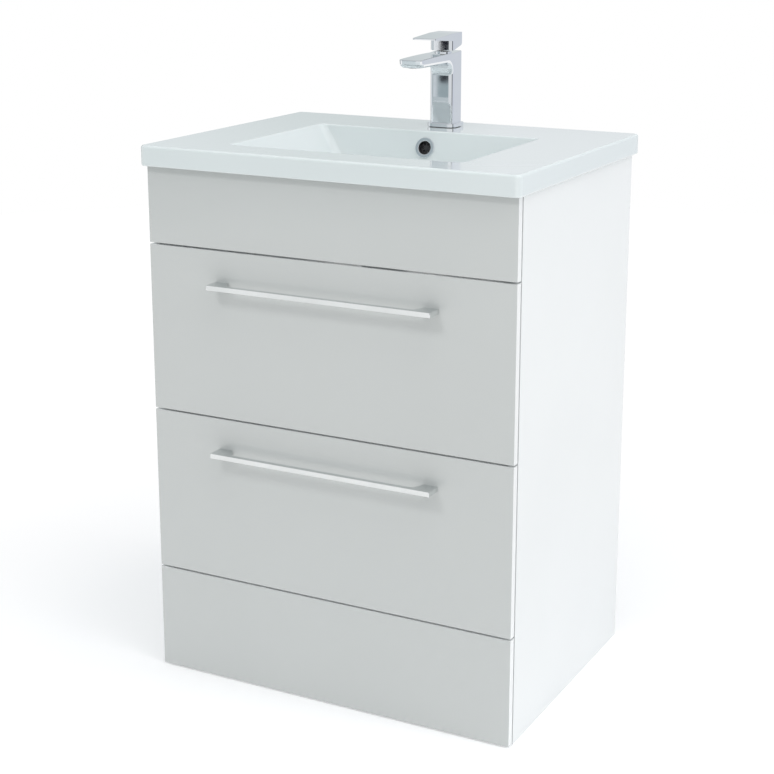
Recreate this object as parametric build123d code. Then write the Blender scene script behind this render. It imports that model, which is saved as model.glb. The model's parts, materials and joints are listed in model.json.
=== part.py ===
from build123d import *
from math import atan, degrees
import os

# Bathroom vanity cabinet: a floor-standing two-drawer carcass, a ceramic basin and a mono mixer tap.
# Millimetres. X is the width, +Y runs back to the wall, +Z is up from the floor.
# The origin is on the floor, at the centre of the whole object's footprint.

# ---- Overall sizes ------------------------------------------------------------------------------
FRONT_WIDTH = 600.0
CARCASS_HEIGHT = 805.0
BASIN_WIDTH = 612.0
BASIN_RIM = 31.0
HANDLE_REACH = 28.0                      # how far the handles stand proud of the fronts
BASIN_FRONT_LAP = 12.0                   # the basin overhangs the fronts by this
BASIN_BACK_REACH = 455.0                 # from the face of the fronts to the back of the basin
CARCASS_BACK_REACH = 440.0

FACE_Y = -(BASIN_BACK_REACH - HANDLE_REACH) / 2      # the face of the drawer fronts
BASIN_TOP = CARCASS_HEIGHT + BASIN_RIM

# ---- Boards and fronts --------------------------------------------------------------------------
BOARD = 15.0
FRONT_THICK = 12.0
FRONT_GAP = 3.5                          # air between the back of a front and the carcass
PANEL_JOINT = 3.0                        # gap between one front and the next
DRAWER_FRONT_HEIGHT = 256.0
PLINTH_BOTTOM = 3.0
PLINTH_TOP = 168.0
FASCIA_TOP = CARCASS_HEIGHT - 1.5
RAIL_HEIGHT = 90.0

HALF_WIDTH = FRONT_WIDTH / 2
INNER_HALF = HALF_WIDTH - BOARD
FRONT_BACK_Y = FACE_Y + FRONT_THICK
CARCASS_FRONT_Y = FRONT_BACK_Y + FRONT_GAP
CARCASS_BACK_Y = FACE_Y + CARCASS_BACK_REACH
BASE_TOP = PLINTH_TOP - PANEL_JOINT
BASE_UNDER = BASE_TOP - BOARD
RAIL_FRONT_BACK_Y = CARCASS_FRONT_Y + BOARD
RAIL_BACK_FRONT_Y = CARCASS_BACK_Y - BOARD
TOP_RAIL_Z = CARCASS_HEIGHT - RAIL_HEIGHT

# ---- Drawers ------------------------------------------------------------------------------------
LOWER_FRONT_Z = PLINTH_TOP + PANEL_JOINT
UPPER_FRONT_Z = LOWER_FRONT_Z + DRAWER_FRONT_HEIGHT + PANEL_JOINT
BOX_LIFT = 12.0                          # bottom of the drawer box above the bottom of its front
BOX_DEPTH = 390.0
BOX_BOARD = 12.0
RUNNER_SPACE = 12.7                      # standard side clearance of a ball-bearing runner
LOWER_BOX_HEIGHT = 190.0
UPPER_BOX_HEIGHT = 150.0
DRAWER_BASE = 6.0
GROOVE_DEPTH = 6.0
GROOVE_LIFT = 8.0
BOX_HALF = INNER_HALF - RUNNER_SPACE
BOX_INNER_HALF = BOX_HALF - BOX_BOARD
BOX_BACK_Y = FRONT_BACK_Y + BOX_DEPTH
NOTCH_HALF = 95.0                        # half width of the pipe notch in the upper drawer
NOTCH_FRONT_Y = FACE_Y + 140.0           # clear of a bottle trap under the waste

# ---- Handles ------------------------------------------------------------------------------------
HANDLE_LENGTH = 367.0
HANDLE_HEIGHT = 7.0
HANDLE_BAR = 8.0
HANDLE_FOOT = 22.0
HANDLE_DROP = 50.0                       # handle centre below the top edge of its front
HANDLE_SCREW_R = 2.0

# ---- Runners ------------------------------------------------------------------------------------
RUNNER_SHEET = 1.2
RUNNER_HALF = 22.5
RUNNER_LIFT = 60.0                       # runner centre line above the bottom of the drawer box
RUNNER_START_Y = CARCASS_FRONT_Y + 2.0
RUNNER_LENGTH = 400.0
MIDDLE_START_Y = FACE_Y + 22.0
MIDDLE_LENGTH = 380.0
MIDDLE_HALF = 19.8
SLIDER_START_Y = FRONT_BACK_Y + 4.0
SLIDER_LENGTH = 385.0
SLIDER_HALF = 16.7

# ---- Basin --------------------------------------------------------------------------------------
BOWL_WIDTH = 384.0
BOWL_FRONT_Y = FACE_Y + 54.0
BOWL_BACK_Y = FACE_Y + 329.0
BOWL_DEPTH = 105.0
BOWL_END_INSET = 80.0                    # each end wall slopes in by this from rim to floor
BOWL_WALL_INSET = 26.0
BOWL_CORNER = 10.0
BOWL_FLOOR_CORNER = 16.0
BOWL_FLOOR_FILLET = 12.0
CERAMIC = 11.0
BASIN_SKIRT = 23.0                       # width of the rim wall that sits on the carcass
WASTE_Y = (BOWL_FRONT_Y + BOWL_BACK_Y) / 2
BOWL_FLOOR_Z = BASIN_TOP - BOWL_DEPTH
BOSS_BOTTOM_Z = BOWL_FLOOR_Z - 26.0
OVERFLOW_Z = BASIN_TOP - 26.0
OVERFLOW_R = 12.0
OVERFLOW_BORE_R = 10.6
OVERFLOW_LIP_R = 16.2
DECK_UNDER_Z = BASIN_TOP - CERAMIC

# ---- Waste --------------------------------------------------------------------------------------
WASTE_THREAD_R = 20.95                   # G 1 1/4 pipe thread
WASTE_BORE_R = 16.0
WASTE_TAIL_Z = 640.0
WASTE_OUTLET_LENGTH = 45.0               # free thread below the back nut, for the trap
WASTE_RELIEF_R = 20.2                    # thread relief between the outlet and the nut
WASTE_SEAL = 1.5
WASTE_FLANGE = 3.0
WASTE_HUB_R = 7.0
PLUG_STEM_R = 4.0
RUNNING_CLEARANCE = 0.05

# ---- Tap ----------------------------------------------------------------------------------------
TAP_Y = FACE_Y + 394.0
TAP_WIDTH = 41.0
TAP_DEPTH = 33.5
TAP_SEAL = 1.0
TAP_CORNER = 7.0
TAP_FLANGE_LAP = 4.5
TAP_FLANGE_HEIGHT = 6.0
TAP_BODY_TOP = BASIN_TOP + 120.0
TAP_TOP_FALL = 2.5                       # the column's top falls this much from its back to its front
TAP_BACK_CORNER = 2.0
TAP_INLET_X = 9.0
TAP_INLET_Y = TAP_Y - 6.0
TAP_STUD_Y = TAP_Y + 9.0
SPOUT_REACH = 127.0                      # spout end from the column's axis
SPOUT_TIP_Z = BASIN_TOP + 114.5
SPOUT_THICK = 12.5
SPOUT_CROWN = 0.8                        # the spout's top is slightly arched
SPOUT_TIP_CORNER = 10.0
SPOUT_WATER_Z = SPOUT_TIP_Z - 6.5
AERATOR_Y = TAP_Y - SPOUT_REACH + 17.0
AERATOR_R = 10.0
SPOUT_EDGE = 7.0                         # rounding under the spout and down the column's front corners
ARCH_REACH = 15.0                        # the arch under the spout: reach and height
ARCH_DROP = 20.0
LEVER_TOP = BASIN_TOP + 149.0
LEVER_REACH = 78.0
LEVER_FRONT_BOTTOM = BASIN_TOP + 121.0   # the block's underside slopes up to the back
LEVER_BACK_BOTTOM = BASIN_TOP + 129.0
LEVER_PIVOT_Z = BASIN_TOP + 133.0
CARTRIDGE_Y = TAP_Y - 8.0                # the lever turns on an axis forward of the column's own
CARTRIDGE_R = 12.5
CARTRIDGE_NECK_R = 10.5
CARTRIDGE_BOTTOM = BASIN_TOP + 98.5
CARTRIDGE_SHOULDER = BASIN_TOP + 112.0
COLLAR_R = 14.0                          # the dress ring that shows under the lever
COLLAR_SEAT = BASIN_TOP + 116.8
COLLAR_TOP = BASIN_TOP + 119.8
STEM_R = 5.0
STEM_BOTTOM = BASIN_TOP + 102.0
STEM_TOP = BASIN_TOP + 122.0
STEM_HALF = 4.0
PIVOT_R = 2.0
PIVOT_HALF = 11.0

os.makedirs("parts", exist_ok=True)


# ---- Shape helpers ------------------------------------------------------------------------------
def block(x0, x1, y0, y1, z0, z1):
    """A box between two corners."""
    return Pos((x0 + x1) / 2, (y0 + y1) / 2, (z0 + z1) / 2) * Box(x1 - x0, y1 - y0, z1 - z0)


def rod_x(x0, x1, y, z, radius):
    """A round bar along X."""
    return Pos((x0 + x1) / 2, y, z) * Rot(0, 90, 0) * Cylinder(radius, abs(x1 - x0))


def rod_y(x, y0, y1, z, radius):
    """A round bar along Y."""
    return Pos(x, (y0 + y1) / 2, z) * Rot(90, 0, 0) * Cylinder(radius, abs(y1 - y0))


def rod_z(x, y, z0, z1, radius):
    """A round bar along Z."""
    return Pos(x, y, (z0 + z1) / 2) * Cylinder(radius, abs(z1 - z0))


def ring_z(x, y, z0, z1, outer, inner):
    """A flat ring or tube on a vertical axis."""
    return rod_z(x, y, z0, z1, outer) - rod_z(x, y, z0, z1, inner)


def hexagon_z(x, y, z0, z1, across_flats):
    """A hexagonal prism on a vertical axis."""
    outline = RegularPolygon(across_flats / 2, 6, major_radius=False)
    return Pos(x, y, z0) * extrude(outline, z1 - z0)


def cut(board, tools):
    """Takes each tool out of the board."""
    for tool in tools:
        board = board - tool
    return board


def save(name, shape):
    """Writes one sub-part; a list is one group of separate solids."""
    solids = []
    for piece in shape if isinstance(shape, list) else [shape]:
        solids.extend(piece.solids())
    export_step(solids[0] if len(solids) == 1 else Compound(children=solids), f"parts/{name}.step")


# ---- Carcass fasteners --------------------------------------------------------------------------
CAM_R = 7.5
CAM_DEPTH = 12.5
CAM_INSET = 24.0
CAM_BOLT_R = 3.0
DOWEL_R = 4.0
DOWEL_REACH = 22.0
SIDE_REACH = 10.0


def cam_lock(side, face, y, z, direction):
    """A cam disc in a drilled pocket: direction is the way the pocket opens, up -Z or along Y."""
    x = side * (INNER_HALF - CAM_INSET)
    if direction == "down":
        return rod_z(x, y, face, face + CAM_DEPTH, CAM_R)
    return rod_y(x, face, face + direction * CAM_DEPTH, z, CAM_R)


def cam_bolt(side, y, z):
    """The steel bolt from the side panel to the rim of its cam."""
    cam_edge = INNER_HALF - CAM_INSET + CAM_R + 0.1
    return rod_x(side * cam_edge, side * (INNER_HALF + SIDE_REACH), y, z, CAM_BOLT_R)


def dowel(side, y, z):
    """A wooden dowel, half in the side panel."""
    return rod_x(side * (INNER_HALF - DOWEL_REACH), side * (INNER_HALF + SIDE_REACH), y, z, DOWEL_R)


MID_BASE_Z = (BASE_TOP + BASE_UNDER) / 2
MID_FRONT_RAIL_Y = (CARCASS_FRONT_Y + RAIL_FRONT_BACK_Y) / 2
MID_BACK_RAIL_Y = (CARCASS_BACK_Y + RAIL_BACK_FRONT_Y) / 2
BASE_CAM_YS = (CARCASS_FRONT_Y + 70, CARCASS_BACK_Y - 70)
BASE_DOWEL_YS = (CARCASS_FRONT_Y + 140, CARCASS_BACK_Y - 140)
RAIL_CAM_LIFT = 30.0
RAIL_DOWEL_LIFT = 65.0
LOWER_BACK_RAIL_Z = BASE_TOP
# Each rail: centre Y, bottom Z, the face its cams enter and the way they go in.
RAILS = (
    (MID_FRONT_RAIL_Y, TOP_RAIL_Z, RAIL_FRONT_BACK_Y, -1),
    (MID_FRONT_RAIL_Y, 0.0, RAIL_FRONT_BACK_Y, -1),
    (MID_BACK_RAIL_Y, TOP_RAIL_Z, RAIL_BACK_FRONT_Y, 1),
    (MID_BACK_RAIL_Y, LOWER_BACK_RAIL_Z, RAIL_BACK_FRONT_Y, 1),
)


def carcass_fasteners():
    """Cams, cam bolts and dowels of the four rails and the base board."""
    cams = []
    bolts = []
    dowels = []
    for side in (-1, 1):
        for y in BASE_CAM_YS:
            cams.append(cam_lock(side, BASE_UNDER, y, 0, "down"))
            bolts.append(cam_bolt(side, y, MID_BASE_Z))
        for y in BASE_DOWEL_YS:
            dowels.append(dowel(side, y, MID_BASE_Z))
        for y, bottom, face, direction in RAILS:
            cams.append(cam_lock(side, face, y, bottom + RAIL_CAM_LIFT, direction))
            bolts.append(cam_bolt(side, y, bottom + RAIL_CAM_LIFT))
            dowels.append(dowel(side, y, bottom + RAIL_DOWEL_LIFT))
    return cams, bolts, dowels


def fixed_panel_screws():
    """Screws from inside the front rails into the fascia and the plinth panel, and their spacers."""
    screws = []
    spacers = []
    for bottom in (TOP_RAIL_Z, 0.0):
        for x in (-240.0, -80.0, 80.0, 240.0):
            z = bottom + 45.0
            shank = rod_y(x, FACE_Y + 4, RAIL_FRONT_BACK_Y, z, 2.0)
            head = rod_y(x, RAIL_FRONT_BACK_Y, RAIL_FRONT_BACK_Y + 2.4, z, 4.0)
            screws.append(shank + head)
            spacer = rod_y(x, FRONT_BACK_Y, CARCASS_FRONT_Y, z, 8.0)
            spacers.append(spacer - rod_y(x, FRONT_BACK_Y, CARCASS_FRONT_Y, z, 2.0))
    return screws, spacers


# ---- Runners ------------------------------------------------------------------------------------
def channel(side, x_web, x_lip, half, y0, length, z, web_first):
    """A rolled channel along Y: a web and two flanges, with the web nearer or further from the centre."""
    x0, x1 = sorted((side * x_web, side * x_lip))
    body = block(x0, x1, y0, y0 + length, z - half, z + half)
    if web_first:
        n0, n1 = side * (x_web + RUNNER_SHEET), side * x_lip
    else:
        n0, n1 = side * x_web, side * (x_lip - RUNNER_SHEET)
    n0, n1 = sorted((n0, n1))
    hollow_half = half - RUNNER_SHEET
    return body - block(n0, n1, y0, y0 + length, z - hollow_half, z + hollow_half)


def runner_fixed(side, z):
    """The cabinet member, screwed to the side panel; its web lies on the board."""
    x_lip = INNER_HALF - 10.2
    return channel(side, x_lip, INNER_HALF, RUNNER_HALF, RUNNER_START_Y, RUNNER_LENGTH, z, False)


def runner_middle(side, z):
    """The middle member: an H section whose flanges run in the other two members."""
    x0, x1 = sorted((side * (INNER_HALF - 10.4), side * (INNER_HALF - 2.2)))
    body = block(x0, x1, MIDDLE_START_Y, MIDDLE_START_Y + MIDDLE_LENGTH, z - MIDDLE_HALF, z + MIDDLE_HALF)
    inner = MIDDLE_HALF - RUNNER_SHEET
    web0, web1 = sorted((side * (INNER_HALF - 7.0), side * (INNER_HALF - 5.8)))
    for n0, n1 in ((x0, web0), (web1, x1)):
        body -= block(n0, n1, MIDDLE_START_Y, MIDDLE_START_Y + MIDDLE_LENGTH, z - inner, z + inner)
    return body


def runner_slider(side, z):
    """The drawer member, screwed to the drawer side; its flanges reach into the middle member."""
    x_lip = BOX_HALF + 4.7
    return channel(side, BOX_HALF, x_lip, SLIDER_HALF, SLIDER_START_Y, SLIDER_LENGTH, z, True)


def runner_screws(side, z):
    """Countersunk screws that hold the cabinet member to the side panel."""
    screws = []
    for y in (RUNNER_START_Y + 37, RUNNER_START_Y + 197, RUNNER_START_Y + 357):
        screws.append(rod_x(side * (INNER_HALF - RUNNER_SHEET), side * (INNER_HALF + 10), y, z, 2.0))
    return screws


def slider_screws(side, z):
    """Countersunk screws that hold the drawer member to the drawer side."""
    screws = []
    for y in (SLIDER_START_Y + 40, SLIDER_START_Y + 340):
        screws.append(rod_x(side * (BOX_HALF - 9), side * (BOX_HALF + RUNNER_SHEET), y, z, 1.8))
    return screws


# ---- Drawers ------------------------------------------------------------------------------------
def handle(z):
    """A slim bow handle: a square bar with a wide splayed foot at each end."""
    half = HANDLE_LENGTH / 2
    front = FACE_Y - HANDLE_REACH
    body = block(-half, half, front, FACE_Y, z - HANDLE_HEIGHT / 2, z + HANDLE_HEIGHT / 2)
    at_panel = half - HANDLE_FOOT
    at_bar = at_panel - 8.0
    with BuildSketch(Plane.XY.offset(z - HANDLE_HEIGHT / 2)) as gap:
        with BuildLine():
            Polyline(
                (-at_panel, FACE_Y),
                (-at_bar, front + HANDLE_BAR),
                (at_bar, front + HANDLE_BAR),
                (at_panel, FACE_Y),
                close=True,
            )
        make_face()
        inner = [v for v in gap.vertices() if v.Y < FACE_Y - 1]
        fillet(inner, 6.0)
    body -= extrude(gap.sketch, HANDLE_HEIGHT)
    front_corners = [e for e in body.edges().filter_by(Axis.Z) if e.center().Y < front + 0.1]
    return fillet(front_corners, 1.5)


def handle_screws(z):
    """Two machine screws through the drawer front into the handle feet."""
    screws = []
    for x in (-(HANDLE_LENGTH - HANDLE_FOOT) / 2, (HANDLE_LENGTH - HANDLE_FOOT) / 2):
        shank = rod_y(x, FACE_Y - 10, FRONT_BACK_Y, z, HANDLE_SCREW_R)
        screws.append(shank + rod_y(x, FRONT_BACK_Y, FRONT_BACK_Y + 2.4, z, 4.0))
    return screws


def front_screws(z0):
    """Four screws from inside the drawer box into the back of its front."""
    screws = []
    inside = FRONT_BACK_Y + BOX_BOARD
    for x in (-200.0, 200.0):
        for z in (z0 + 40, z0 + 110):
            shank = rod_y(x, FACE_Y + 4, inside, z, 2.0)
            screws.append(shank + rod_y(x, inside, inside + 2.2, z, 3.8))
    return screws


def drawer(prefix, front_z, box_height, notched):
    """One drawer: a box of boards round a grooved-in base, its front, handle and runner members."""
    z0 = front_z + BOX_LIFT
    z1 = z0 + box_height
    groove0 = z0 + GROOVE_LIFT
    groove1 = groove0 + DRAWER_BASE
    runner_z = z0 + RUNNER_LIFT
    handle_z = front_z + DRAWER_FRONT_HEIGHT - HANDLE_DROP
    edge = BOX_INNER_HALF + GROOVE_DEPTH
    base_front = FRONT_BACK_Y + BOX_BOARD - GROOVE_DEPTH
    base_back = BOX_BACK_Y - BOX_BOARD + GROOVE_DEPTH
    base = block(-edge, edge, base_front, base_back, groove0, groove1)
    if notched:
        in_groove = NOTCH_HALF + GROOVE_DEPTH
        base -= block(-in_groove, in_groove, NOTCH_FRONT_Y - GROOVE_DEPTH, BOX_BACK_Y, groove0, groove1)

    screws_front = front_screws(z0)
    screws_handle = handle_screws(handle_z)
    front = block(-HALF_WIDTH, HALF_WIDTH, FACE_Y, FRONT_BACK_Y, front_z, front_z + DRAWER_FRONT_HEIGHT)
    save(f"{prefix}_drawer_front", cut(front, screws_front + screws_handle))
    inside_front = block(
        -BOX_INNER_HALF, BOX_INNER_HALF, FRONT_BACK_Y, FRONT_BACK_Y + BOX_BOARD, z0, z1
    )
    save(f"{prefix}_drawer_box_front", cut(inside_front, screws_front + [base]))
    save(f"{prefix}_drawer_base", base)

    screws_slider = []
    sliders = []
    for side, name in ((-1, "left"), (1, "right")):
        screws = slider_screws(side, runner_z)
        screws_slider.extend(screws)
        x0, x1 = sorted((side * BOX_INNER_HALF, side * BOX_HALF))
        board = block(x0, x1, FRONT_BACK_Y, BOX_BACK_Y, z0, z1)
        save(f"{prefix}_drawer_side_{name}", cut(board, screws + [base]))
        sliders.append(cut(runner_slider(side, runner_z), screws))
    save(f"{prefix}_runner_drawer_members", sliders)

    back_y0 = BOX_BACK_Y - BOX_BOARD
    if notched:
        wall = NOTCH_HALF + BOX_BOARD
        backs = []
        for side in (-1, 1):
            x0, x1 = sorted((side * wall, side * BOX_INNER_HALF))
            backs.append(block(x0, x1, back_y0, BOX_BACK_Y, z0, z1) - base)
        save(f"{prefix}_drawer_backs", backs)
        notch_sides = []
        for side in (-1, 1):
            x0, x1 = sorted((side * NOTCH_HALF, side * wall))
            notch_sides.append(block(x0, x1, NOTCH_FRONT_Y, BOX_BACK_Y, z0, z1) - base)
        save(f"{prefix}_notch_sides", notch_sides)
        front_wall = block(-wall, wall, NOTCH_FRONT_Y - BOX_BOARD, NOTCH_FRONT_Y, z0, z1)
        save(f"{prefix}_notch_front", front_wall - base)
    else:
        board = block(-BOX_INNER_HALF, BOX_INNER_HALF, back_y0, BOX_BACK_Y, z0, z1)
        save(f"{prefix}_drawer_back", board - base)

    save(f"{prefix}_handle", cut(handle(handle_z), screws_handle))
    save(f"{prefix}_drawer_screws", screws_front + screws_handle + screws_slider)
    return runner_z


# ---- Basin --------------------------------------------------------------------------------------
def bowl_hollow(grow, top_z, floor_z):
    """The tapered bowl as a solid, grown outwards by the ceramic's thickness where grow isn't 0."""
    depth_y = BOWL_BACK_Y - BOWL_FRONT_Y
    top = Plane.XY.offset(top_z) * Pos(0, WASTE_Y) * RectangleRounded(
        BOWL_WIDTH + 2 * grow, depth_y + 2 * grow, BOWL_CORNER + grow
    )
    floor = Plane.XY.offset(floor_z) * Pos(0, WASTE_Y) * RectangleRounded(
        BOWL_WIDTH - 2 * BOWL_END_INSET + 2 * grow,
        depth_y - 2 * BOWL_WALL_INSET + 2 * grow,
        BOWL_FLOOR_CORNER + grow,
    )
    return loft([top, floor], ruled=True)


def basin():
    """One ceramic casting: deck, rim, bowl, tap hole, waste boss and the overflow duct behind the bowl."""
    front = FACE_Y - BASIN_FRONT_LAP
    back = FACE_Y + BASIN_BACK_REACH
    half = BASIN_WIDTH / 2
    slab = block(-half, half, front, back, CARCASS_HEIGHT, BASIN_TOP)
    slab = fillet(slab.edges().filter_by(Axis.Z), 9.0)
    slab = fillet(slab.faces().sort_by(Axis.Z)[-1].edges(), 4.0)
    slab = fillet(slab.faces().sort_by(Axis.Z)[0].edges(), 2.0)
    recess = block(
        -half + BASIN_SKIRT, half - BASIN_SKIRT, front + BASIN_SKIRT, back - BASIN_SKIRT,
        CARCASS_HEIGHT, DECK_UNDER_Z,
    )
    body = slab - recess
    body += bowl_hollow(CERAMIC, BASIN_TOP - 2.0, BOWL_FLOOR_Z - CERAMIC)

    duct_half = 13.0
    duct_wall = 9.0
    duct_front = BOWL_BACK_Y + 3.0
    duct_back = duct_front + 8.0
    duct_low = BOSS_BOTTOM_Z + 7.0
    duct_roof = duct_low + 9.0
    housing_half = duct_half + duct_wall
    body += rod_z(0, WASTE_Y, BOSS_BOTTOM_Z, BOWL_FLOOR_Z - 2, 37.0)
    housing_back = duct_back + duct_wall
    body += block(-housing_half, housing_half, WASTE_Y, housing_back, BOSS_BOTTOM_Z, BOWL_FLOOR_Z - 2)
    body += block(
        -housing_half, housing_half, BOWL_BACK_Y - 20, housing_back, BOSS_BOTTOM_Z, DECK_UNDER_Z + 2
    )
    hollow = bowl_hollow(0, BASIN_TOP, BOWL_FLOOR_Z)
    hollow = fillet(hollow.faces().sort_by(Axis.Z)[0].edges(), BOWL_FLOOR_FILLET)
    body -= hollow
    body -= block(-duct_half, duct_half, duct_front, duct_back, duct_low, OVERFLOW_Z + 13)
    body -= block(-duct_half, duct_half, WASTE_Y, duct_back, duct_low, duct_roof)
    body -= overflow_axis() * rod_y(0, -15.0, 12.0, 0, OVERFLOW_R)
    body -= rod_z(0, WASTE_Y, BOSS_BOTTOM_Z, BOWL_FLOOR_Z + 1, 23.0)
    body -= rod_z(0, TAP_Y, DECK_UNDER_Z, BASIN_TOP, 17.5)
    rim = [
        e for e in body.edges()
        if abs(e.center().Z - BASIN_TOP) < 0.01
        and abs(e.center().X) < BOWL_WIDTH / 2 + 1
        and BOWL_FRONT_Y - 1 < e.center().Y < BOWL_BACK_Y + 1
    ]
    return fillet(rim, 3.0)


def overflow_axis():
    """Where the overflow hole's axis meets the bowl's back wall, turned square to that leaning wall."""
    slope = BOWL_WALL_INSET / BOWL_DEPTH
    wall_y = BOWL_BACK_Y - slope * (BASIN_TOP - OVERFLOW_Z)
    return Pos(0, wall_y, OVERFLOW_Z) * Rot(-degrees(atan(slope)), 0, 0)


def overflow_ring():
    """The chrome ring that lines the overflow hole in the bowl's back wall."""
    lip_thick = 2.2
    sleeve = 7.0
    ring = rod_y(0, -lip_thick, 0, 0, OVERFLOW_LIP_R) + rod_y(0, 0, sleeve, 0, OVERFLOW_R)
    ring -= rod_y(0, -lip_thick, sleeve, 0, OVERFLOW_BORE_R)
    front_edges = ring.edges().filter_by(GeomType.CIRCLE).sort_by(Axis.Y)[0:2]
    return overflow_axis() * fillet(front_edges, 0.8)


# ---- Waste --------------------------------------------------------------------------------------
def waste_parts():
    """The click-clack waste: flanged tail, plug on its stem, seals and back nut."""
    flange_z = BOWL_FLOOR_Z + WASTE_SEAL
    flange_top = flange_z + WASTE_FLANGE
    tail = rod_z(0, WASTE_Y, WASTE_TAIL_Z, flange_z, WASTE_THREAD_R)
    tail += rod_z(0, WASTE_Y, flange_z, flange_top, 32.0)
    relief_z = WASTE_TAIL_Z + WASTE_OUTLET_LENGTH
    tail -= ring_z(0, WASTE_Y, relief_z, relief_z + 3.0, 32.0, WASTE_RELIEF_R)
    tail -= rod_z(0, WASTE_Y, WASTE_TAIL_Z, flange_top, WASTE_BORE_R)
    slot_z = BOSS_BOTTOM_Z + 7.5
    for turn in (0, 90):
        tail -= Pos(0, WASTE_Y, slot_z + 4) * Rot(0, 0, turn) * Box(60, 12, 8)
    hub_z0 = flange_z - 34
    hub_z1 = flange_z - 20
    hub = rod_z(0, WASTE_Y, hub_z0, hub_z1, WASTE_HUB_R)
    for turn in (45, 135):
        hub += Pos(0, WASTE_Y, (hub_z0 + hub_z1) / 2) * Rot(0, 0, turn) * Box(2 * WASTE_BORE_R + 2, 3, 14)
    tail += hub
    tail -= rod_z(0, WASTE_Y, hub_z0, hub_z1, PLUG_STEM_R + RUNNING_CLEARANCE)
    save("waste_body", tail)
    save("waste_upper_seal", ring_z(0, WASTE_Y, BOWL_FLOOR_Z, flange_z, 30.0, 23.0))
    save("waste_lower_seal", ring_z(0, WASTE_Y, BOSS_BOTTOM_Z - 6, BOSS_BOTTOM_Z, 31.0, WASTE_THREAD_R))
    nut = hexagon_z(0, WASTE_Y, BOSS_BOTTOM_Z - 16, BOSS_BOTTOM_Z - 6, 56.0)
    save("waste_back_nut", nut - rod_z(0, WASTE_Y, BOSS_BOTTOM_Z - 16, BOSS_BOTTOM_Z - 6, WASTE_THREAD_R))

    plug_z = flange_top + 0.3
    cap = rod_z(0, WASTE_Y, plug_z, plug_z + 6, 31.5)
    cap = fillet(cap.edges().sort_by(Axis.Z)[-1:], 3.0)
    save("waste_plug", cap + rod_z(0, WASTE_Y, hub_z0 - 12, plug_z, PLUG_STEM_R))


# ---- Tap ----------------------------------------------------------------------------------------
def tap_outline(z):
    """The column's plan: a rectangle with large front corners and small back corners."""
    with BuildSketch(Plane.XY.offset(z)) as outline:
        with Locations((0, TAP_Y)):
            Rectangle(TAP_WIDTH, TAP_DEPTH)
        fillet([v for v in outline.vertices() if v.Y < TAP_Y], TAP_CORNER)
        fillet([v for v in outline.vertices() if v.Y > TAP_Y + TAP_DEPTH / 2 - 0.1], TAP_BACK_CORNER)
    return outline.sketch


def tap_casting(base):
    """Column and spout from one side profile, so that the rounding under the spout runs down the column."""
    tip_y = TAP_Y - SPOUT_REACH
    front_y = TAP_Y - TAP_DEPTH / 2
    back_y = TAP_Y + TAP_DEPTH / 2
    under_z = SPOUT_TIP_Z - SPOUT_THICK
    front_top_z = TAP_BODY_TOP - TAP_TOP_FALL
    crown = ((front_y + tip_y) / 2, (front_top_z + SPOUT_TIP_Z) / 2 + SPOUT_CROWN)
    with BuildSketch(Plane.YZ) as profile:
        with BuildLine():
            top = Line((back_y, TAP_BODY_TOP), (front_y, front_top_z))
            slope = ThreePointArc(top @ 1, crown, (tip_y, SPOUT_TIP_Z))
            end = Line(slope @ 1, (tip_y + 2, under_z))
            Line(end @ 1, (front_y - ARCH_REACH, under_z))
            arch_centre = (front_y - ARCH_REACH, under_z - ARCH_DROP)
            EllipticalCenterArc(arch_centre, ARCH_REACH, ARCH_DROP, start_angle=0, arc_size=90)
            front = Line((front_y, under_z - ARCH_DROP), (front_y, base))
            foot = Line(front @ 1, (back_y, base))
            Line(foot @ 1, top @ 0)
        make_face()
    body = extrude(profile.sketch, TAP_WIDTH / 2, both=True)
    tip = [
        e for e in body.edges()
        if e.center().Y < tip_y + 3
        and abs(e.center().X) > TAP_WIDTH / 2 - 0.1
        and e.length < SPOUT_THICK + 1
    ]
    body = fillet(tip, SPOUT_TIP_CORNER)
    column_front = [
        e for e in body.edges().filter_by(Axis.Z)
        if abs(e.center().Y - front_y) < 0.1 and abs(e.center().X) > TAP_WIDTH / 2 - 0.1
    ]
    body = fillet(column_front, SPOUT_EDGE)
    back = [e for e in body.edges().filter_by(Axis.Z) if abs(e.center().Y - back_y) < 0.1]
    body = fillet(back, TAP_BACK_CORNER)
    rim = [e for e in body.edges() if e.center().Z > SPOUT_TIP_Z - 0.1]
    return fillet(rim, 1.4)


def tap_body():
    """Column, base flange and arched spout in one brass casting, bored for the cartridge and the water."""
    base = BASIN_TOP + TAP_SEAL
    flange = extrude(offset(tap_outline(base), TAP_FLANGE_LAP), TAP_FLANGE_HEIGHT)
    flange = fillet(flange.faces().sort_by(Axis.Z)[-1].edges(), 1.5)
    body = tap_casting(base) + flange
    body -= rod_z(0, CARTRIDGE_Y, CARTRIDGE_BOTTOM, TAP_BODY_TOP, CARTRIDGE_R)
    body -= rod_z(0, CARTRIDGE_Y, COLLAR_SEAT, TAP_BODY_TOP, COLLAR_R)
    body -= rod_z(0, TAP_STUD_Y, base, base + 20, 4.0)
    for x in (-TAP_INLET_X, TAP_INLET_X):
        body -= rod_z(x, TAP_INLET_Y, base, base + 14, 5.0)
        body -= rod_z(x, TAP_INLET_Y, base + 14, CARTRIDGE_BOTTOM, 2.5)
    body -= rod_y(0, AERATOR_Y, CARTRIDGE_Y - CARTRIDGE_R + 1, SPOUT_WATER_Z, 3.0)
    body -= rod_z(0, AERATOR_Y, SPOUT_TIP_Z - SPOUT_THICK - 1, SPOUT_WATER_Z, AERATOR_R)
    return body


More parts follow.
